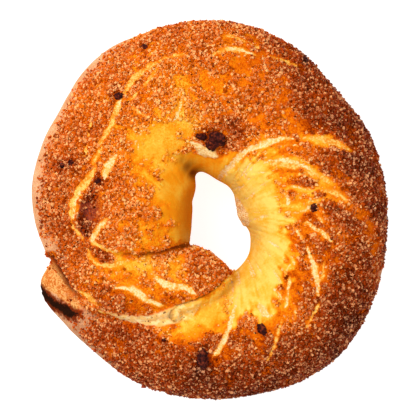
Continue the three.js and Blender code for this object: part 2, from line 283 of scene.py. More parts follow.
# Places that differ from their surroundings: x, y, radius in pixels, change of browning, change of sugar.
PATCHES = [
    (266, 314, 14, -0.3, -0.35), (172, 108, 14, -0.08, 0.04), (152, 150, 16, -0.12, -0.15),
    (192, 124, 12, -0.14, 0), (262, 52, 20, -0.08, -0.25), (300, 262, 12, -0.08, 0), (282, 184, 5, 0.2, 0.5),
    (278, 288, 3, 0.55, 0.6), (285, 278, 5, 0.3, 0.3), (216, 320, 12, 0.14, 0), (86, 302, 9, -0.14, -0.1),
    (99, 212, 12, 0.22, 0.25), (190, 238, 8, -0.25, -0.5), (236, 62, 14, 0, -0.2),
]

# Colours from golden to burnt crust, and of the dark and the light sugar grains on it.
CRUST = [
    (0, (252, 214, 104)), (0.1, (250, 190, 62)), (0.24, (248, 156, 22)), (0.4, (244, 126, 12)),
    (0.55, (222, 99, 6)), (0.7, (188, 70, 4)), (0.85, (138, 43, 3)), (1, (70, 20, 3)),
]
GRAIN_DARK = [(0.2, (206, 104, 6)), (0.5, (164, 62, 0)), (0.75, (110, 32, 0)), (1, (46, 12, 0))]
GRAIN_LIGHT = [(0.2, (255, 208, 116)), (0.5, (255, 190, 116)), (0.75, (240, 162, 100)), (1, (216, 146, 106))]

SEED = 7  # of everything that is scattered at random
# Of a grain, as shares of its size: how far its corners move, how much its sides differ, how far it stands
# out, and the least and the greatest size of a kind.
GRAIN_BENT, GRAIN_SIDES, GRAIN_OUT, GRAIN_SIZES = 0.28, (0.7, 1.3), (0.2, 0.5), (0.5, 1.7)
GRAIN_LOWEST = 0.02  # mm above the surface that the bagel lies on
CHIP_THICKNESS = 0.75  # as a share of its lesser width
CHIP_OUT = 0.3  # how far it stands out, as a share of its thickness


# Curves, noise and masks.
def curve_through(rows, keyed=False, closed=False):
    """A smooth curve through rows of numbers. Its parameter is the first column, or the row's number."""
    rows = np.array(rows, float)
    keys = rows[:, 0] if keyed else np.arange(len(rows), dtype=float)
    values = rows[:, 1:] if keyed else rows
    secants = np.diff(values, axis=0) / np.diff(keys)[:, None]
    before = np.vstack([secants[-1:] if closed else -secants[:1], secants])
    after = np.vstack([secants, secants[:1] if closed else -secants[-1:]])
    slopes = (before + after) / 2

    def at(t):
        t = np.asarray(t, float)
        i = np.clip(np.searchsorted(keys, t, side="right") - 1, 0, len(keys) - 2)
        span = (keys[i + 1] - keys[i])[:, None]
        u = (t - keys[i])[:, None] / span
        start = (1 + 2 * u) * (1 - u) ** 2 * values[i] + span * u * (1 - u) ** 2 * slopes[i]
        return start + u**2 * (3 - 2 * u) * values[i + 1] + span * u**2 * (u - 1) * slopes[i + 1]

    return at


def round_hole(rows, degrees):
    """The columns of rows of numbers that go round the hole, by angle."""
    return curve_through(rows, keyed=True, closed=True)(degrees).T


def smoothstep(low, high, value):
    share = np.clip((value - low) / (high - low), 0, 1)
    return share * share * (3 - 2 * share)


def bell(value, middle, width):
    return np.exp(-(((value - middle) / width) ** 2))


def hashed(corner, seed):
    """A fixed number from -1 to 1 for each corner of a lattice."""
    number = (corner @ np.array([374761393, 668265263, 1442695041]) + seed * 1274126177) & 0xFFFFFFFF
    number = ((number ^ (number >> 13)) * 1274126177) & 0xFFFFFFFF
    return (number ^ (number >> 16)) / 0x7FFFFFFF - 1


def noise(points, size, seed):
    """Smooth noise from -1 to 1 with lumps about size across."""
    cell = points / size
    base = np.floor(cell).astype(np.int64)
    share = cell - base
    share = share**3 * (share * (share * 6 - 15) + 10)
    total = np.zeros(len(points))
    for step in np.ndindex(2, 2, 2):
        step = np.array(step)
        weight = np.prod(np.where(step, share, 1 - share), axis=1)
        total += weight * hashed(base + step, seed)
    return total


def deep_near(seen, corners, reach, deep_at):
    """How deep pixels lie in a shape: as deep_at says near its corners, and minus the reach elsewhere."""
    near = np.all((seen > corners.min(0) - reach) & (seen < corners.max(0) + reach), axis=1)
    deep = np.full(len(seen), -reach)
    deep[near] = deep_at(seen[near])
    return deep


def beside_line(seen, a, b):
    """The share of the way from a to b at which each pixel lies, and its distance from that line."""
    along = b - a
    share = np.clip((seen - a) @ along / max(along @ along, 1e-9), 0, 1)
    return share, np.linalg.norm(seen - a - share[:, None] * along, axis=1)


def inside_stroke(seen, path):
    """How far inside a stroke each pixel lies: its half width on its line, and negative outside."""
    steps, margin = 6, 6
    rows = curve_through(path)(np.linspace(0, len(path) - 1, steps * (len(path) - 1) + 1))
    line, half = rows[:, :2], rows[:, 2] / 2
    reach = half.max() + margin

    def deep_at(spots):
        best = np.full(len(spots), -reach)
        for a, b, half_a, half_b in zip(line[:-1], line[1:], half[:-1], half[1:]):
            share, gap = beside_line(spots, a, b)
            best = np.maximum(best, half_a + (half_b - half_a) * share - gap)
        return best

    return deep_near(seen, line, reach, deep_at)


def inside_outline(seen, outline):
    """How far inside an outline each pixel lies, and negative outside."""
    corners, reach = np.array(outline, float), 12.0

    def deep_at(spots):
        x, y = spots.T
        gap, within = np.full(len(spots), reach), np.zeros(len(spots), bool)
        for a, b in zip(corners, np.roll(corners, -1, axis=0)):
            gap = np.minimum(gap, beside_line(spots, a, b)[1])
            if a[1] != b[1]:
                crossing = a[0] + (y - a[1]) / (b[1] - a[1]) * (b[0] - a[0])
                within ^= ((a[1] > y) != (b[1] > y)) & (x < crossing)
        return np.where(within, gap, -gap)

    return deep_near(seen, corners, reach, deep_at)


def seen_pixels(points):
    """The photograph's pixels at which points, in mm, show."""
    middle = (PHOTO_SIDE / 2 - BAGEL_PIXEL) * (PIXEL, -PIXEL)
    nearer = (EYE - WAIST) / (EYE - points[:, 2])
    flat = (points[:, :2] - middle) * nearer[:, None]
    return PHOTO_SIDE / 2 + flat * (1 / PIXEL, -1 / PIXEL)


class Spots:
    """Points of the crust in mm, with their normals and the pixels that show them."""

    def __init__(self, points, normals):
        self.points, self.normals, self.seen = points, normals, seen_pixels(points)
        away = (self.seen - HOLE_PIXEL) * (1, -1)
        self.angle = np.degrees(np.arctan2(away[:, 1], away[:, 0])) % 360
        self.distance = np.linalg.norm(away, axis=1)
        self.facing_right = np.cos(np.radians(self.angle))

    def noise(self, *layers):
        """Noises added up, each with its amount, the size of its lumps in mm, and its seed."""
        return sum(amount * noise(self.points, size, seed) for amount, size, seed in layers)

    def streaks(self, width, length, seed):
        """Noise drawn out along the dough's stretch: width in degrees, length in pixels."""
        degrees_per_pixel = 0.16
        turn = np.radians(self.angle + degrees_per_pixel * self.distance)
        size = 1 / math.radians(width)
        ring = np.column_stack([np.cos(turn) * size, np.sin(turn) * size, self.distance / length])
        return noise(ring, 1.0, seed)

    def blob(self, x, y, radius):
        """1 at a pixel and falling smoothly to 0 at about twice the radius."""
        return np.exp(-np.sum((self.seen - (x, y)) ** 2, axis=1) / radius**2)

    def stroke(self, *paths):
        """How far inside the nearest of the strokes each point is seen, in mm."""
        return np.max([inside_stroke(self.seen, path) for path in paths], axis=0) * PIXEL

    def outline(self, outline):
        return inside_outline(self.seen, outline) * PIXEL


# The rope.
def rounded(value, power):
    """A signed power, for superellipses."""
    return np.sign(value) * np.abs(value) ** (2 / power)


def sections_of(outer, inner, low, high, scale=1.0):
    """Superellipse sections in the upright planes through the rope's outer and inner edges."""
    angle = np.linspace(0, 2 * math.pi, ROPE_SIDES, endpoint=False)
    upper = np.sin(angle) > 0
    power = np.where(upper, CROWN_POWER, UNDERSIDE_POWER)
    across, rise = rounded(np.cos(angle), power), rounded(np.sin(angle), power)
    scale = np.broadcast_to(scale, len(outer))[:, None]
    widest = (low + WIDEST_AT * (high - low))[:, None]
    reach = np.where(upper, high[:, None] - widest, widest - low[:, None])
    middle = (outer + inner) / 2
    half = (outer - middle)[:, None, :] * (scale * across)[:, :, None]
    return np.dstack([middle[:, None, :] + half, widest + reach * scale * rise])


def skin_of(sections, tips=None):
    """Points and faces of the skin through a row of sections, closed on itself or ending in two tips."""
    count, sides = sections.shape[:2]
    points = sections.reshape(-1, 3)
    rows = np.arange(count if tips is None else count - 1)[:, None]
    columns = np.arange(sides)[None, :]

    def at(row, column):
        return (row % count) * sides + column % sides

    corners = [at(rows, columns), at(rows + 1, columns), at(rows + 1, columns + 1), at(rows, columns + 1)]
    faces = np.stack(corners, axis=-1).reshape(-1, 4).tolist()
    if tips is not None:
        first, last = len(points), len(points) + 1
        points = np.vstack([points, tips])
        faces += [[first, side, (side + 1) % sides] for side in range(sides)]
        end = (count - 1) * sides
        faces += [[last, end + (side + 1) % sides, end + side] for side in range(sides)]
    return points, faces


def ring_skin():
    degrees = np.linspace(0, 360, RING_STEPS, endpoint=False)
    inner, outer, high = round_hole(RING_STATIONS, degrees)
    way = np.column_stack([np.cos(np.radians(degrees)), np.sin(np.radians(degrees))])
    low = np.full(len(degrees), -BASE_SINK)
    return skin_of(sections_of(HOLE + outer[:, None] * way, HOLE + inner[:, None] * way, low, high))


def rope_skin(stations, cap):
    share_of_length, bluntness = cap
    table = curve_through(stations)
    shares = (1 - np.cos(np.pi * np.arange(1, ROPE_STEPS) / ROPE_STEPS)) / 2
    into = np.minimum(np.minimum(shares, 1 - shares) / share_of_length, 1)
    scale = (1 - (1 - into) ** bluntness) ** (1 / bluntness)
    rows = table(shares * (len(stations) - 1))
    ends = table(np.array([0.0, len(stations) - 1]))
    heights = ends[:, 4] + WIDEST_AT * (ends[:, 5] - ends[:, 4])
    tips = np.column_stack([(ends[:, 0:2] + ends[:, 2:4]) / 2, heights])
    return skin_of(sections_of(rows[:, 0:2], rows[:, 2:4], rows[:, 4], rows[:, 5], scale), tips)


def stacked(parts):
    """Sets of points and faces as one."""
    points, faces, start = [], [], 0
    for part_points, part_faces in parts:
        points.append(part_points)
        faces += [[corner + start for corner in face] for face in part_faces]
        start += len(part_points)
    return np.vstack(points), faces


def mesh_of(name, points, faces):
    mesh = bpy.data.meshes.new(name)
    mesh.from_pydata(points.tolist(), [], faces)
    return mesh


def rows_of(items, field, width, kind=np.float32):
    """One field of a mesh's vertices, edges or triangles, a row for each."""
    numbers = np.empty(len(items) * width, kind)
    items.foreach_get(field, numbers)
    return numbers.reshape(-1, width)


def points_of(mesh):
    return rows_of(mesh.vertices, "co", 3).astype(float)


def normals_of(mesh):
    return rows_of(mesh.vertex_normals, "vector", 3).astype(float)


def move_points(mesh, points):
    mesh.vertices.foreach_set("co", points.astype(np.float32).ravel())
    mesh.update()


def relaxed(points, edges):
    """Points drawn half way to their neighbours' middle, again and again."""
    degree = np.bincount(edges.ravel(), minlength=len(points))[:, None]
    for _ in range(RELAX_ROUNDS):
        total = np.zeros_like(points)
        for axis in range(3):
            total[:, axis] += np.bincount(edges[:, 0], points[edges[:, 1], axis], len(points))
            total[:, axis] += np.bincount(edges[:, 1], points[edges[:, 0], axis], len(points))
        points = (points + total / degree) / 2
    return points


def fitted(points):
    """Points stretched to the CAD solid's box."""
    low, high = np.array(cad_low) / MM, np.array(cad_high) / MM
    return low + (points - points.min(0)) / np.ptp(points, axis=0) * (high - low)


def placed(name, data):
    """A new object in the scene."""
    made = bpy.data.objects.new(name, data)
    bpy.context.collection.objects.link(made)
    return made


def joined_rope():
    """The three lengths of rope joined into one fine mesh, in mm, with a flat base."""
    lengths = [ring_skin(), rope_skin(END_STATIONS, END_CAP), rope_skin(FOLD_STATIONS, FOLD_CAP)]
    rope = placed("rope", mesh_of("rope", *stacked(lengths)))
    remesh = rope.modifiers.new("remesh", "REMESH")
    remesh.mode = "VOXEL"
    remesh.voxel_size = VOXEL
    remesh.adaptivity = 0.0
    graph = bpy.context.evaluated_depsgraph_get()
    joined = bpy.data.meshes.new_from_object(rope.evaluated_get(graph))
    bpy.data.objects.remove(rope)
    points = relaxed(points_of(joined), rows_of(joined.edges, "vertices", 2, np.int32))
    points[:, 2] = np.maximum(points[:, 2], 0)
    move_points(joined, fitted(points))
    joined.name = "crust"
    return joined


# The crust's marks.
def browning_and_sugar(spots, around):
    """Browning from 0 golden to 1 burnt and how thick sugar lies, by angle, region and patch."""
    gold_edge, gold_heat, mid_heat, rim_heat, sets_in, mid_sugar, rim_sugar = around
    rim = round_hole(RING_STATIONS, spots.angle)[1] / PIXEL
    outward = np.clip((spots.distance - gold_edge) / (rim - gold_edge), 0, 1)
    ragged = gold_edge + 8 * spots.streaks(5, 30, 11) + 6 * spots.streaks(2, 22, 12)
    past_gold = smoothstep(-8, 10, spots.distance - (ragged + spots.noise((12, 2, 36))))
    browned = smoothstep(-0.28, 0.28, outward - sets_in + spots.noise((0.12, 7, 18)))
    heat = gold_heat + past_gold * (mid_heat - gold_heat + (rim_heat - mid_heat) * browned)
    heat += spots.noise((0.04, 9, 13), (0.05, 5, 14))
    heat += 0.06 * spots.streaks(4, 25, 15) * past_gold
    sugar = past_gold * (mid_sugar + (rim_sugar - mid_sugar) * browned)
    uneven, shades = spots.noise((0.8, 3.5, 19), (0.7, 1.4, 35)), spots.noise((0.05, 4, 31))
    for outline, own_heat, own_sugar, softness in REGIONS:
        within = smoothstep(-softness, softness, inside_outline(spots.seen, outline) + softness * uneven)
        heat += within * (own_heat - heat + shades)
        sugar += within * (own_sugar - sugar)
    for x, y, radius, more_heat, more_sugar in PATCHES:
        near = spots.blob(x, y, radius)
        heat += more_heat * near
        sugar += more_sugar * near
    for x, y, radius in SUGAR_CLUMPS:
        sugar += 0.5 * spots.blob(x, y, radius * 0.8)
    return heat, sugar


def marks_of(spots):
    """The crust's masks by name. Those of strokes and outlines say how far inside a point lies, in mm."""
    around = round_hole(AROUND, spots.angle)
    gold_edge, side_top = around[0], around[-1]
    left, height, upward = spots.seen[:, 0], spots.points[:, 2], spots.normals[:, 2]
    heat, sugar = browning_and_sugar(spots, around[:-1])
    fibre = spots.streaks(1.6, 16, 17)
    pulled = 0.3 + 0.7 * smoothstep(-0.3, 0.4, spots.facing_right)
    heat += (0.03 + 0.13 * bell(spots.distance, gold_edge, 26)) * fibre * pulled

    # The bare side below the sugar: its colour fades out over more height than its lack of sugar.
    seam = spots.stroke(*SEAMS)
    above = height - side_top + spots.noise((2, 8, 16)) + spots.noise((1, 2.5, 20))
    outside = smoothstep(*SIDE_STARTS, spots.distance) * (1 - smoothstep(-2.0, -1.0, seam))
    side = outside * (1 - smoothstep(-4, 7, above + spots.noise((1.5, 4, 39))))
    bare_side = outside * (1 - smoothstep(-5, 2.5, above + spots.noise((1.2, 1.2, 40))))

    # Stretch marks, with thin wrinkles round the right half of the hole, and the other marks.
    past_gold = smoothstep(gold_edge, gold_edge + 16, spots.distance)
    wrinkled = smoothstep(*WRINKLES_START, spots.distance) * (1 - past_gold) * pulled
    wrinkles = 1.8 * (spots.streaks(1.5, 20, 37) - 0.45) - 2.0 * (1 - wrinkled)
    pale = np.maximum(spots.stroke(*PALE_MARKS), wrinkles)
    split = np.maximum(pale, spots.stroke(*GOLDEN_MARKS))
    frayed = spots.noise((0.3, 2.6, 33), (0.35, 1.1, 34))
    facing_up = smoothstep(-0.1, 0.35, upward)
    on_top = facing_up * smoothstep(8, 20, height) > 0.3
    marks = {
        "stretch": np.where(on_top, np.clip(split + frayed, -1.5, 1.5), -1.5),
        "pale": pale,
        "crumb": spots.outline(CRUMB) - 1.2 * smoothstep(*CRUMB_THINS, left) + 0.5 * frayed,
        "lump": spots.stroke(HOLE_LUMP),
        "flap": spots.stroke(FLAP) + 1.8 * frayed,
        "pocket": spots.outline(POCKET),
        "seam": seam,
        "tail": spots.outline(TAIL),
        "burn": spots.outline(CHAR),
    }
    marks = {name: np.clip(mark, -3, 3) for name, mark in marks.items()}
    for name in ("crumb", "flap", "pocket"):
        marks[name] = np.where(facing_up > 0.05, marks[name], -3)

    # Each of them keeps sugar off, browns the crust or both.
    smooth = ("stretch", "crumb", "lump", "flap", "seam")
    bare = np.max([smoothstep(-0.5, 0.1, marks[name]) for name in smooth], axis=0)
    bare = np.maximum(bare, 0.9 * smoothstep(-0.5, 0.5, marks["tail"]))
    for x, y, half_length, half_width, _ in CHIP_PITS:
        away = np.linalg.norm(spots.seen - (x, y), axis=1) / (half_length + half_width) * 2
        bare = np.maximum(bare, 1 - smoothstep(0.8, 1.3, away))
        heat += 0.22 * bell(away, 0, 1.9)
    shallow = smoothstep(*PIT_FADES, left)
    within = smoothstep(-0.1 - 2.0 * shallow, 0.1 + 1.2 * shallow, marks["pocket"])
    heat += within * (0.76 - 0.22 * shallow - heat)
    sugar += within * (0.66 - sugar)
    charred = smoothstep(-1.6, 0.2, marks["burn"] + spots.noise((1.2, 1.2, 32)))
    heat += charred * (0.96 - heat)
    sugar += charred * (0.14 - sugar)
    bare *= 1 - 0.8 * charred
    clusters = spots.noise((0.5, 5, 50), (0.45, 2.3, 51), (0.35, 1.1, 52))
    dusting = smoothstep(0.38, 0.68, sugar + clusters) * smoothstep(0.0, 0.12, sugar)
    heat += 0.08 * dusting - 0.03

    # Painted shade on the hole's wall: darker where the wall is steep and on its left side, fading out away
    # from the hole.
    steep = 1 - smoothstep(0.30, 0.90, upward)
    far_side = 0.25 + 0.45 * smoothstep(-0.3, 0.5, -spots.facing_right)
    # The bubble's rim is painted darker on its left side: painted shade.
    away = (spots.seen - BUBBLE[:2]) / BUBBLE[2]
    marks.update({
        "browning": np.clip(heat, 0, 1),
        "rough": np.clip(sugar, 0, 1) * (1 - bare) * (1 - bare_side),
        "sugar": dusting * (1 - bare) * (1 - bare_side),
        "side": side * (1 - charred),
        "underside": 1 - smoothstep(0.2, 9.0, height + spots.noise((1.2, 5, 43))),
        "fibre": fibre,
        "ripe": smoothstep(*CRUMB_RIPENS, left),
        # Partly the cinnamon in the pit, partly painted shade of its recess, strongest at its deep left end.
        "pit": within * (1 - 0.8 * shallow),
        "shade": steep * far_side * (1 - smoothstep(*HOLE_WALL_ENDS, spots.distance)),
        "hollow": np.max([depth * spots.blob(x, y, radius) for x, y, radius, depth in HOLLOW], axis=0),
        "bubble": bell(np.linalg.norm(away, axis=1), 0.95, 0.28)
        * smoothstep(-0.1, 0.7, 0.3 * away[:, 1] - away[:, 0]),
    })
    return marks


def relief_of(spots, marks):
    """How far each point of the crust moves out along its normal, in mm."""
    upward, rough = spots.normals[:, 2], marks["rough"]
    up = smoothstep(0.0, 0.3, upward)
    out = 0.35 * marks["sugar"] - PROUD * (0.15 + 0.85 * smoothstep(0.0, 0.4, rough))
    out += spots.noise((0.3, 15, 21), (0.16, 6, 22), (0.05, 2.2, 23))
    out += rough * spots.noise((0.12, 1.6, 24), (0.08, 0.9, 25))
    out += (1 - rough) * 0.05 * marks["fibre"] * up
    out -= 0.40 * smoothstep(-0.3, 0.7, marks["stretch"])
    out += 0.14 * bell(marks["stretch"], -0.45, 0.3)
    crumb = smoothstep(-0.5, 1.6, marks["crumb"])
    out += up * 0.5 * crumb
    out -= 0.5 * smoothstep(0.45, 0.8, spots.noise((1, 1.3, 27))) * crumb
    bubble = np.linalg.norm(spots.seen - BUBBLE[:2], axis=1) / BUBBLE[2]
    out += 1.4 * np.sqrt(np.clip(1 - bubble**2, 0, 1)) - 0.8 * bell(bubble, 1.2, 0.2)
    shallow = smoothstep(*PIT_RISES, spots.seen[:, 0])
    out -= 2.8 * smoothstep(-0.3, 1.5, marks["pocket"]) * (1 - 0.65 * shallow)
    out += 0.6 * smoothstep(-0.4, 0.8, marks["flap"]) - 1.0 * marks["hollow"]
    out -= 1.6 * smoothstep(-0.7, 0.7, marks["seam"]) * smoothstep(-0.2, 0.3, upward)
    bumpy = 0.7 + spots.noise((0.7, 1.4, 28)) + spots.noise((0.4, 0.8, 38))
    out += smoothstep(-0.3, 1.0, marks["lump"]) * bumpy
    out += smoothstep(-0.5, 0.5, marks["burn"]) * 0.35 * spots.noise((1, 1.3, 29))
    for x, y, half_length, half_width, _ in CHIP_PITS:
        out -= 1.1 * spots.blob(x, y, (half_length + half_width) / 2) * up
    crumbly = 1 + spots.noise((0.6, 0.9, 30))
    for x, y, radius in SUGAR_CLUMPS:
        out += 0.5 * spots.blob(x, y, radius * 0.8) * up * crumbly
    return out * smoothstep(0.2, 3.0, spots.points[:, 2])


def store(mesh, name, values):
    mesh.attributes.new(name, "FLOAT", "POINT").data.foreach_set("value", values.astype(np.float32))


# Materials.
def srgb(red, green, blue):
    """A colour from 0 to 255 as Blender's linear numbers."""
    shares = np.array([red, green, blue]) / 255
    return (*np.where(shares > 0.04045, ((shares + 0.055) / 1.055) ** 2.4, shares / 12.92), 1.0)


class Paint:
    """A material and its node tree."""

    def __init__(self, name):
        self.material = bpy.data.materials.new(name)
        self.material.use_nodes = True
        self.tree = self.material.node_tree
        self.place = self.add("ShaderNodeTexCoord").outputs["Object"]

    def add(self, kind, inputs=None, **settings):
        made = self.tree.nodes.new(kind)
        for name, value in settings.items():
            setattr(made, name, value)
        return self.fill(made, inputs or {})

    def fill(self, node, inputs):
        """Sets a node's inputs, each to a number, a colour or another node's output."""
        for name, value in inputs.items():
            if isinstance(value, bpy.types.NodeSocket):
                self.tree.links.new(value, node.inputs[name])
            else:
                node.inputs[name].default_value = value
        return node

    def shade(self, inputs):
        """Sets the shader's inputs and returns the finished material."""
        self.fill(self.tree.nodes["Principled BSDF"], inputs)
        return self.material

    def mark(self, name):
        return self.add("ShaderNodeAttribute", attribute_name=name).outputs["Fac"]

    def noise(self, size, detail=2.0, roughness=0.5):
        """Noise from about 0 to 1, with lumps about size millimetres across."""
        settings = {"Vector": self.place, "Scale": 1 / (size * MM), "Detail": detail, "Roughness": roughness}
        return self.add("ShaderNodeTexNoise", settings).outputs["Fac"]

    def math(self, operation, a, b=0.0, c=0.0):
        return self.add("ShaderNodeMath", {0: a, 1: b, 2: c}, operation=operation).outputs[0]

    def times(self, a, b):
        return self.math("MULTIPLY", a, b)

    def plus(self, value, *layers):
        """A value with noises added, each from minus to plus half its amount."""
        for layer, amount in layers:
            value = self.math("ADD", value, self.times(self.math("SUBTRACT", layer, 0.5), amount))
        return value

    def step(self, value, low, high):
        inputs = {"Value": value, "From Min": low, "From Max": high}
        return self.add("ShaderNodeMapRange", inputs, interpolation_type="SMOOTHSTEP").outputs[0]

    def mask(self, mark, low, high, *layers):
        """A mark as a share, 0 at low and 1 at high, with noises that fray its edge."""
        return self.step(self.plus(self.mark(mark), *layers), low, high)

    def mix(self, share, a, b):
        """From a to b, each a node's output or a colour from 0 to 255."""
        a, b = (srgb(*colour) if isinstance(colour, tuple) else colour for colour in (a, b))
        return self.add("ShaderNodeMix", {0: share, 6: a, 7: b}, data_type="RGBA").outputs[2]

    def ramp(self, value, stops):
        """Colours from 0 to 255 at their places along value."""
        stops = [(place, srgb(*colour)) for place, colour in stops]
        made = self.add("ShaderNodeValToRGB", {"Fac": value})
        band = made.color_ramp
        for end in (0, -1):
            band.elements[end].position, band.elements[end].color = stops[end]
        for place, colour in stops[1:-1]:
            band.elements.new(place).color = colour
        return made.outputs["Color"]

    def bump(self, height, distance, strength, normal=None):
        inputs = {"Height": height, "Distance": distance * MM, "Strength": strength}
        if normal is not None:
            inputs["Normal"] = normal
        return self.add("ShaderNodeBump", inputs).outputs["Normal"]


def crust_paint():
    """Crust from golden to burnt, dusted with sugar, with each mark's colours over it, some of them painted
    shade and light.
    """
    paint = Paint("crust")
    coarse, medium = paint.noise(4.5, 3), paint.noise(1.5, 3)
    fine, grit = paint.noise(0.6, 2), paint.noise(0.3, 1)
    rough = paint.mark("rough")
    crystals = paint.add("ShaderNodeTexVoronoi", {"Vector": paint.place, "Scale": 1 / (0.42 * MM)})
    tint = paint.math("FRACT", paint.times(crystals.outputs["Color"], 3.7))
    unrest = paint.math("MULTIPLY_ADD", rough, 0.55, 0.12)
    speckle = paint.times(rough, 0.35)
    heat = paint.mark("browning")
    heat = paint.plus(heat, (coarse, 0.30), (medium, unrest), (fine, unrest), (tint, speckle))
    dusted = paint.mask("sugar", 0.30, 0.70, (fine, 1.6))
    # The sugar cells' dark and light tints are sugar of two tones, and partly painted glints and painted
    # shade between crystals.
    colour = paint.mix(paint.times(dusted, 0.85), paint.ramp(heat, CRUST), grain_colour(paint, tint))

    patchy = paint.step(paint.plus(coarse, (fine, 0.9), (grit, 0.7)), 0.1, 0.9)
    # The bare side is painted lighter towards the back left and darker towards the front right: painted light
    # and shade.
    sunny_side = paint.mix(patchy, (246, 194, 146), (212, 146, 98))
    dim_side = paint.mix(patchy, (212, 162, 124), (170, 118, 84))
    to_front_right = {0: paint.place, 1: (0.6, -0.8, 0.0)}
    away = paint.add("ShaderNodeVectorMath", to_front_right, operation="DOT_PRODUCT").outputs["Value"]
    pale_side = paint.mix(paint.step(away, -25 * MM, 30 * MM), sunny_side, dim_side)
    tray_brown = paint.mix(patchy, (214, 140, 78), (168, 92, 44))
    pale_side = paint.mix(paint.times(paint.mark("underside"), 0.8), pale_side, tray_brown)

    mottled = paint.step(paint.plus(0.5, (medium, 2.4), (fine, 2.8)), 0.1, 0.9)
    golden = paint.mix(mottled, (242, 150, 42), (255, 206, 108))
    pale = paint.mix(mottled, (248, 190, 98), (255, 224, 164))
    stretched = paint.mix(paint.mask("pale", -0.25, 0.35, (medium, 1.6)), golden, pale)
    half_medium = paint.step(medium, 0.35, 0.6)
    creamy = paint.mix(half_medium, (255, 222, 160), (255, 194, 112))
    golden_crumb = paint.mix(half_medium, (255, 220, 138), (250, 186, 78))
    spotted = paint.step(paint.plus(coarse, (fine, 1.8)), 0.25, 0.75)

    side = paint.mask("side", 0.10, 0.95, (fine, 0.5))
    frayed = (medium, 1.0), (fine, 1.2)
    split = paint.mask("stretch", -0.18, 0.14, *frayed)
    torn = paint.mask("crumb", -0.2, 0.4, (medium, 1.2))
    dough = paint.mask("tail", -0.3, 0.6, (medium, 1.2), (fine, 2.4))
    scorched = paint.mask("burn", -1.2, 0.0, (medium, 1.6), (fine, 3.0))
    charred = paint.mask("burn", -0.1, 0.5, (medium, 1.4), (fine, 2.0))
    covers = [
        (paint.times(side, 0.85), pale_side),
        (paint.times(split, paint.step(heat, 0.15, 0.35)), (244, 148, 38)),
        (paint.mask("stretch", 0.05, 0.50, *frayed), stretched),
        (torn, paint.mix(paint.mark("ripe"), creamy, golden_crumb)),
        (paint.times(paint.step(paint.noise(1.1, 1), 0.66, 0.72), torn), (150, 96, 54)),
        # painted shade on the bubble's left rim
        (paint.times(paint.mark("bubble"), 0.7), (158, 100, 34)),
        # the pit's darkening: partly its cinnamon, partly painted shade of the recess
        (paint.times(paint.mark("pit"), 0.45), (140, 74, 66)),
        (dough, paint.mix(spotted, (244, 182, 106), (214, 112, 40))),
        (paint.mask("lump", -0.1, 0.3, (fine, 0.6)),
         paint.mix(paint.step(grit, 0.4, 0.6), (255, 240, 184), (232, 160, 76))),
        (paint.mask("flap", -0.1, 0.3, (fine, 0.9)),
         paint.mix(paint.step(fine, 0.35, 0.65), (255, 226, 166), (240, 180, 96))),
        # painted shadow along the creases
        (paint.mask("seam", -0.25, 0.45, (fine, 0.5)), (104, 42, 18)),
        (paint.times(scorched, 0.8), (116, 46, 20)),
        (charred, paint.mix(grit, (14, 8, 6), (56, 28, 16))),
        # painted shade on the hole's wall
        (paint.mark("shade"), (184, 100, 22)),
        # painted shade in the dips where the ropes meet
        (paint.mark("hollow"), (112, 50, 8)),
    ]
    for share, own in covers:
        colour = paint.mix(share, colour, own)

    dull = paint.math("MAXIMUM", dusted, paint.math("MAXIMUM", side, dough))
    crusty = paint.times(paint.math("SUBTRACT", 1.0, crystals.outputs["Distance"]), rough)
    skin = paint.bump(paint.noise(0.45, 3, 0.6), 0.12, 0.6)
    return paint.shade({
        "Base Color": colour,
        "Roughness": paint.plus(paint.math("MULTIPLY_ADD", dull, 0.3, 0.36), (medium, 0.12)),
        "Normal": paint.bump(crusty, 0.40, 0.8, skin),
        "Subsurface Weight": 0.12,
        "Subsurface Radius": (1.0, 0.45, 0.18),
        "Subsurface Scale": 1.2 * MM,
        "Specular IOR Level": 0.0,
    })


def grain_colour(paint, tint):
    """From dark through the crust's own colour to light, as the tint goes from 0 to 1."""
    browning = paint.mark("browning")
    dark, baked, light = (paint.ramp(browning, colours) for colours in (GRAIN_DARK, CRUST, GRAIN_LIGHT))
    darker = paint.mix(paint.step(tint, 0.04, 0.42), dark, baked)
    return paint.mix(paint.step(tint, 0.55, 0.92), darker, light)


def grain_paint(name, coat):
    """Sugar crystals, cloudy inside, each with a tint of its own between the colours of its place."""
    paint = Paint(name)
    return paint.shade({
        "Base Color": grain_colour(paint, paint.plus(paint.mark("tint"), (paint.noise(0.25, 1), 0.5))),
        "Roughness": paint.plus(0.35, (paint.noise(0.2, 1), 0.2)),
        "Coat Weight": coat,
        "Coat Roughness": 0.12,
        "Specular IOR Level": 0.02,
    })


def cinnamon_paint():
    """Dull grains of ground cinnamon, each from red brown to dark brown."""
    paint = Paint("cinnamon_grains")
    tint = paint.plus(paint.mark("tint"), (paint.noise(0.25, 1), 0.4))
    return paint.shade({
        "Base Color": paint.ramp(tint, [(0.1, (70, 24, 8)), (0.5, (120, 46, 12)), (0.9, (180, 80, 26))]),
        "Roughness": paint.plus(0.75, (paint.noise(0.2, 1), 0.2)),
        "Specular IOR Level": 0.02,
    })


def chip_paint():
    """Burnt cinnamon, nearly black, with redder specks."""
    paint = Paint("burnt_cinnamon")
    cloud, grit = paint.noise(0.9, 3), paint.noise(0.25, 2)
    return paint.shade({
        "Base Color": paint.ramp(cloud, [(0.38, (40, 10, 10)), (0.54, (78, 22, 14)), (0.70, (142, 58, 28))]),
        "Roughness": paint.plus(0.6, (grit, 0.3)),
        "Normal": paint.bump(grit, 0.25, 0.8),
        "Specular IOR Level": 0.10,
    })


# Pieces.
def make_piece(mesh, name, slot, material):
    piece = placed(name, mesh)
    mesh.materials.clear()
    mesh.materials.append(material)
    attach(piece, "root")
    return piece


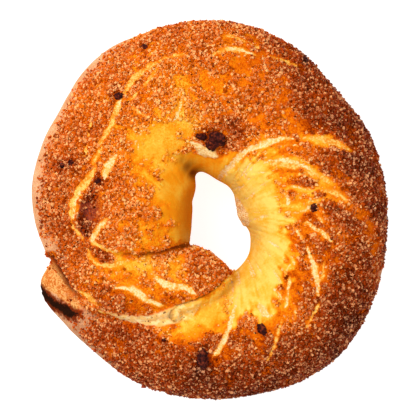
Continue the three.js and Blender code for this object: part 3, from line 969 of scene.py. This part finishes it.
def make_crust():
    mesh = joined_rope()
    spots = Spots(points_of(mesh), normals_of(mesh))
    marks = marks_of(spots)
    points = spots.points + spots.normals * relief_of(spots, marks)[:, None]
    points[:, 2] = np.maximum(points[:, 2], 0)
    move_points(mesh, points * MM)
    for name, values in marks.items():
        store(mesh, name, values)
    mesh.polygons.foreach_set("use_smooth", np.ones(len(mesh.polygons), bool))
    piece = make_piece(mesh, "crust", "crust", crust_paint())
    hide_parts("bagel")
    return piece, marks


class Ground:
    """Places on the crust, for what is scattered on it."""

    def __init__(self, mesh, marks):
        mesh.calc_loop_triangles()
        self.triangles = rows_of(mesh.loop_triangles, "vertices", 3, np.int32)
        self.points = points_of(mesh) / MM
        self.normals = normals_of(mesh)
        self.marks = marks
        corners = self.points[self.triangles]
        sides = np.cross(corners[:, 1] - corners[:, 0], corners[:, 2] - corners[:, 0])
        self.areas = np.linalg.norm(sides, axis=1) / 2

    def mean(self, name):
        return self.marks[name][self.triangles].mean(1)

    def scatter(self, density, count, random):
        """Random places, normals and browning, where density says how thick they lie on each triangle."""
        weight = np.clip(density, 0, None) * self.areas
        picks = random.choice(len(weight), count, p=weight / weight.sum())
        a, b = random.random((2, count))
        over = a + b > 1
        a, b = np.where(over, 1 - a, a), np.where(over, 1 - b, b)
        shares = np.column_stack([1 - a - b, a, b])[:, :, None]
        corners = self.triangles[picks]
        normals = (self.normals[corners] * shares).sum(1)
        normals /= np.linalg.norm(normals, axis=1, keepdims=True)
        browning = (self.marks["browning"][corners] * shares[:, :, 0]).sum(1)
        return (self.points[corners] * shares).sum(1), normals, browning


# The shapes of a grain: corners and faces.
CUBE = (
    np.array(list(np.ndindex(2, 2, 2))) - 0.5,
    np.array([(0, 1, 3, 2), (4, 6, 7, 5), (0, 4, 5, 1), (2, 3, 7, 6), (0, 2, 6, 4), (1, 5, 7, 3)]),
)
GEM = (
    np.array([(1, 0, 0), (-1, 0, 0), (0, 1, 0), (0, -1, 0), (0, 0, 1), (0, 0, -1)]) * 0.62,
    np.array([(4, 0, 2), (4, 2, 1), (4, 1, 3), (4, 3, 0), (5, 2, 0), (5, 1, 2), (5, 3, 1), (5, 0, 3)]),
)


def random_turns(count, random):
    """Random rotation matrices, from quaternions."""
    quaternions = random.normal(size=(4, count))
    w, x, y, z = quaternions / np.linalg.norm(quaternions, axis=0)
    rows = [
        [1 - 2 * (y * y + z * z), 2 * (x * y - z * w), 2 * (x * z + y * w)],
        [2 * (x * y + z * w), 1 - 2 * (x * x + z * z), 2 * (y * z - x * w)],
        [2 * (x * z - y * w), 2 * (y * z + x * w), 1 - 2 * (x * x + y * y)],
    ]
    return np.moveaxis(np.array(rows), 2, 0)


def make_grains(name, slot, material, lie, sizes, tints, shape, random):
    """One joined mesh of grains: each is the shape with its corners pushed about, turned at random."""
    (places, normals, browning), (corners, faces) = lie, shape
    count = len(places)
    bent = 1 + GRAIN_BENT * random.uniform(-1, 1, (count, len(corners), 1))
    rough = corners[None] * bent * random.uniform(*GRAIN_SIDES, (count, 1, 3)) * sizes[:, None, None]
    turned = np.einsum("nij,nkj->nki", random_turns(count, random), rough)
    middles = places + normals * (sizes * random.uniform(*GRAIN_OUT, count))[:, None]
    points = (turned + middles[:, None]).reshape(-1, 3)
    points[:, 2] = np.maximum(points[:, 2], GRAIN_LOWEST)
    numbers = (faces[None] + (np.arange(count) * len(corners))[:, None, None]).reshape(-1, faces.shape[1])
    mesh = mesh_of(name, points * MM, numbers.tolist())
    store(mesh, "tint", np.repeat(tints, len(corners)))
    store(mesh, "browning", np.repeat(browning, len(corners)))
    return make_piece(mesh, name, slot, material)


def unit_ball():
    """Points and faces of a fine ball of radius 1."""
    shape = bmesh.new()
    bmesh.ops.create_icosphere(shape, subdivisions=4, radius=1.0)
    shape.verts.index_update()
    points = np.array([corner.co for corner in shape.verts])
    faces = [[corner.index for corner in face.verts] for face in shape.faces]
    shape.free()
    return points, faces


def make_chips(ground):
    """Burnt cinnamon chips, each a flattened, crumbled lump that fills its pit."""
    seen = seen_pixels(ground.points)
    ball, faces = unit_ball()
    chips = []
    for number, (x, y, half_length, half_width, turn) in enumerate(CHIP_PITS):
        nearest = np.argsort(np.linalg.norm(seen - (x, y), axis=1))[:12]
        spot = nearest[np.argmax(ground.points[nearest, 2])]
        normal = ground.normals[spot]
        grit = 1 + 0.30 * noise(ball * 1.5 + number * 7.1, 1.0, 41)
        grit += 0.22 * noise(ball * 3.3, 1.0, 42 + number)
        thickness = min(half_length, half_width) * CHIP_THICKNESS
        size = np.array([half_length, half_width, thickness]) * PIXEL
        cos, sin = math.cos(math.radians(turn)), math.sin(math.radians(turn))
        lump = ball * grit[:, None] * size @ np.array([[cos, sin, 0], [-sin, cos, 0], [0, 0, 1]])
        lay = np.array(Vector((0, 0, 1)).rotation_difference(Vector(normal)).to_matrix())
        chips.append((lump @ lay.T + ground.points[spot] + normal * size[2] * CHIP_OUT, faces))
    points, faces = stacked(chips)
    mesh = mesh_of("cinnamon_chips", points * MM, faces)
    return make_piece(mesh, "cinnamon_chips", "cinnamon", chip_paint())


def make_sugar(ground):
    """The cinnamon sugar: clear golden crystals, browned ones, fine ones, and grains of cinnamon."""
    random = np.random.default_rng(SEED)
    heat, rough = ground.mean("browning"), ground.mean("rough")
    cover = ground.mean("sugar") * (0.3 + 0.7 * rough)
    crystals = grain_paint("sugar_crystals", 0.07)
    browned, fine = grain_paint("sugar_browned", 0.02), grain_paint("sugar_fine", 0.02)
    # How many there are of each, their size in mm, the range of their tints, their shape, how thick they lie.
    kinds = [
        ("sugar_crystals", "sugar", crystals, 13000, 0.53, (0.35, 1.0), CUBE, cover + 0.06 * rough),
        ("sugar_browned", "sugar", browned, 11500, 0.52, (0.0, 0.65), CUBE, cover * (0.2 + heat)),
        ("sugar_fine", "sugar", fine, 24000, 0.37, (0.1, 1.0), GEM, cover + 0.20 * rough),
        ("cinnamon_grains", "cinnamon", cinnamon_paint(), 6000, 0.40, (0.0, 1.0), GEM, cover * heat**2),
    ]
    for name, slot, material, count, size, tint_range, shape, density in kinds:
        lie = ground.scatter(density, count, random)
        least, most = GRAIN_SIZES
        sizes = np.clip(random.normal(size, size / 5, count), size * least, size * most)
        make_grains(name, slot, material, lie, sizes, random.uniform(*tint_range, count), shape, random)


# Stage.
def make_floor():
    half, depth = 3.0, -0.1 * MM
    corners = [(-half, -half, depth), (half, -half, depth), (half, half, depth), (-half, half, depth)]
    floor = placed("floor", mesh_of("floor", np.array(corners), [(0, 1, 2, 3)]))
    floor.data.materials.append(Paint("floor").shade({
        "Base Color": (0.36, 0.36, 0.36, 1),
        "Roughness": 0.8,
        "Emission Color": (1, 1, 1, 1),
        "Emission Strength": 0.88,
    }))


def make_light(name, place, size, power, colour):
    lamp = bpy.data.lights.new(name, "AREA")
    lamp.size, lamp.energy, lamp.color = size, power, colour
    light = placed(name, lamp)
    light.location = place
    light.rotation_euler = (-Vector(place)).to_track_quat("-Z", "Y").to_euler()


def make_lighting():
    scene = bpy.context.scene
    scene.view_settings.view_transform = "Standard"
    world = bpy.data.worlds.new("studio")
    world.use_nodes = True
    background = world.node_tree.nodes["Background"]
    background.inputs["Color"].default_value = (1.0, 1.0, 1.0, 1)
    background.inputs["Strength"].default_value = 0.40
    scene.world = world
    make_light("key", (-0.40, 0.29, 0.83), 0.6, 7.8, (1.0, 0.98, 0.95))
    make_light("fill", (0.50, -0.45, 0.60), 0.7, 2.0, (1.0, 1.0, 1.0))


def make_camera():
    data = bpy.data.cameras.new("camera")
    data.sensor_width = 36.0
    data.lens = data.sensor_width * (EYE - WAIST) / (PHOTO_SIDE * PIXEL)
    camera = placed("camera", data)
    x, y = (PHOTO_SIDE / 2 - BAGEL_PIXEL) * (PIXEL, -PIXEL)
    camera.location = (x * MM, y * MM, EYE * MM)
    bpy.context.scene.camera = camera


make_camera()
make_lighting()
make_floor()
crust, crust_marks = make_crust()
ground = Ground(crust.data, crust_marks)
make_chips(ground)
make_sugar(ground)
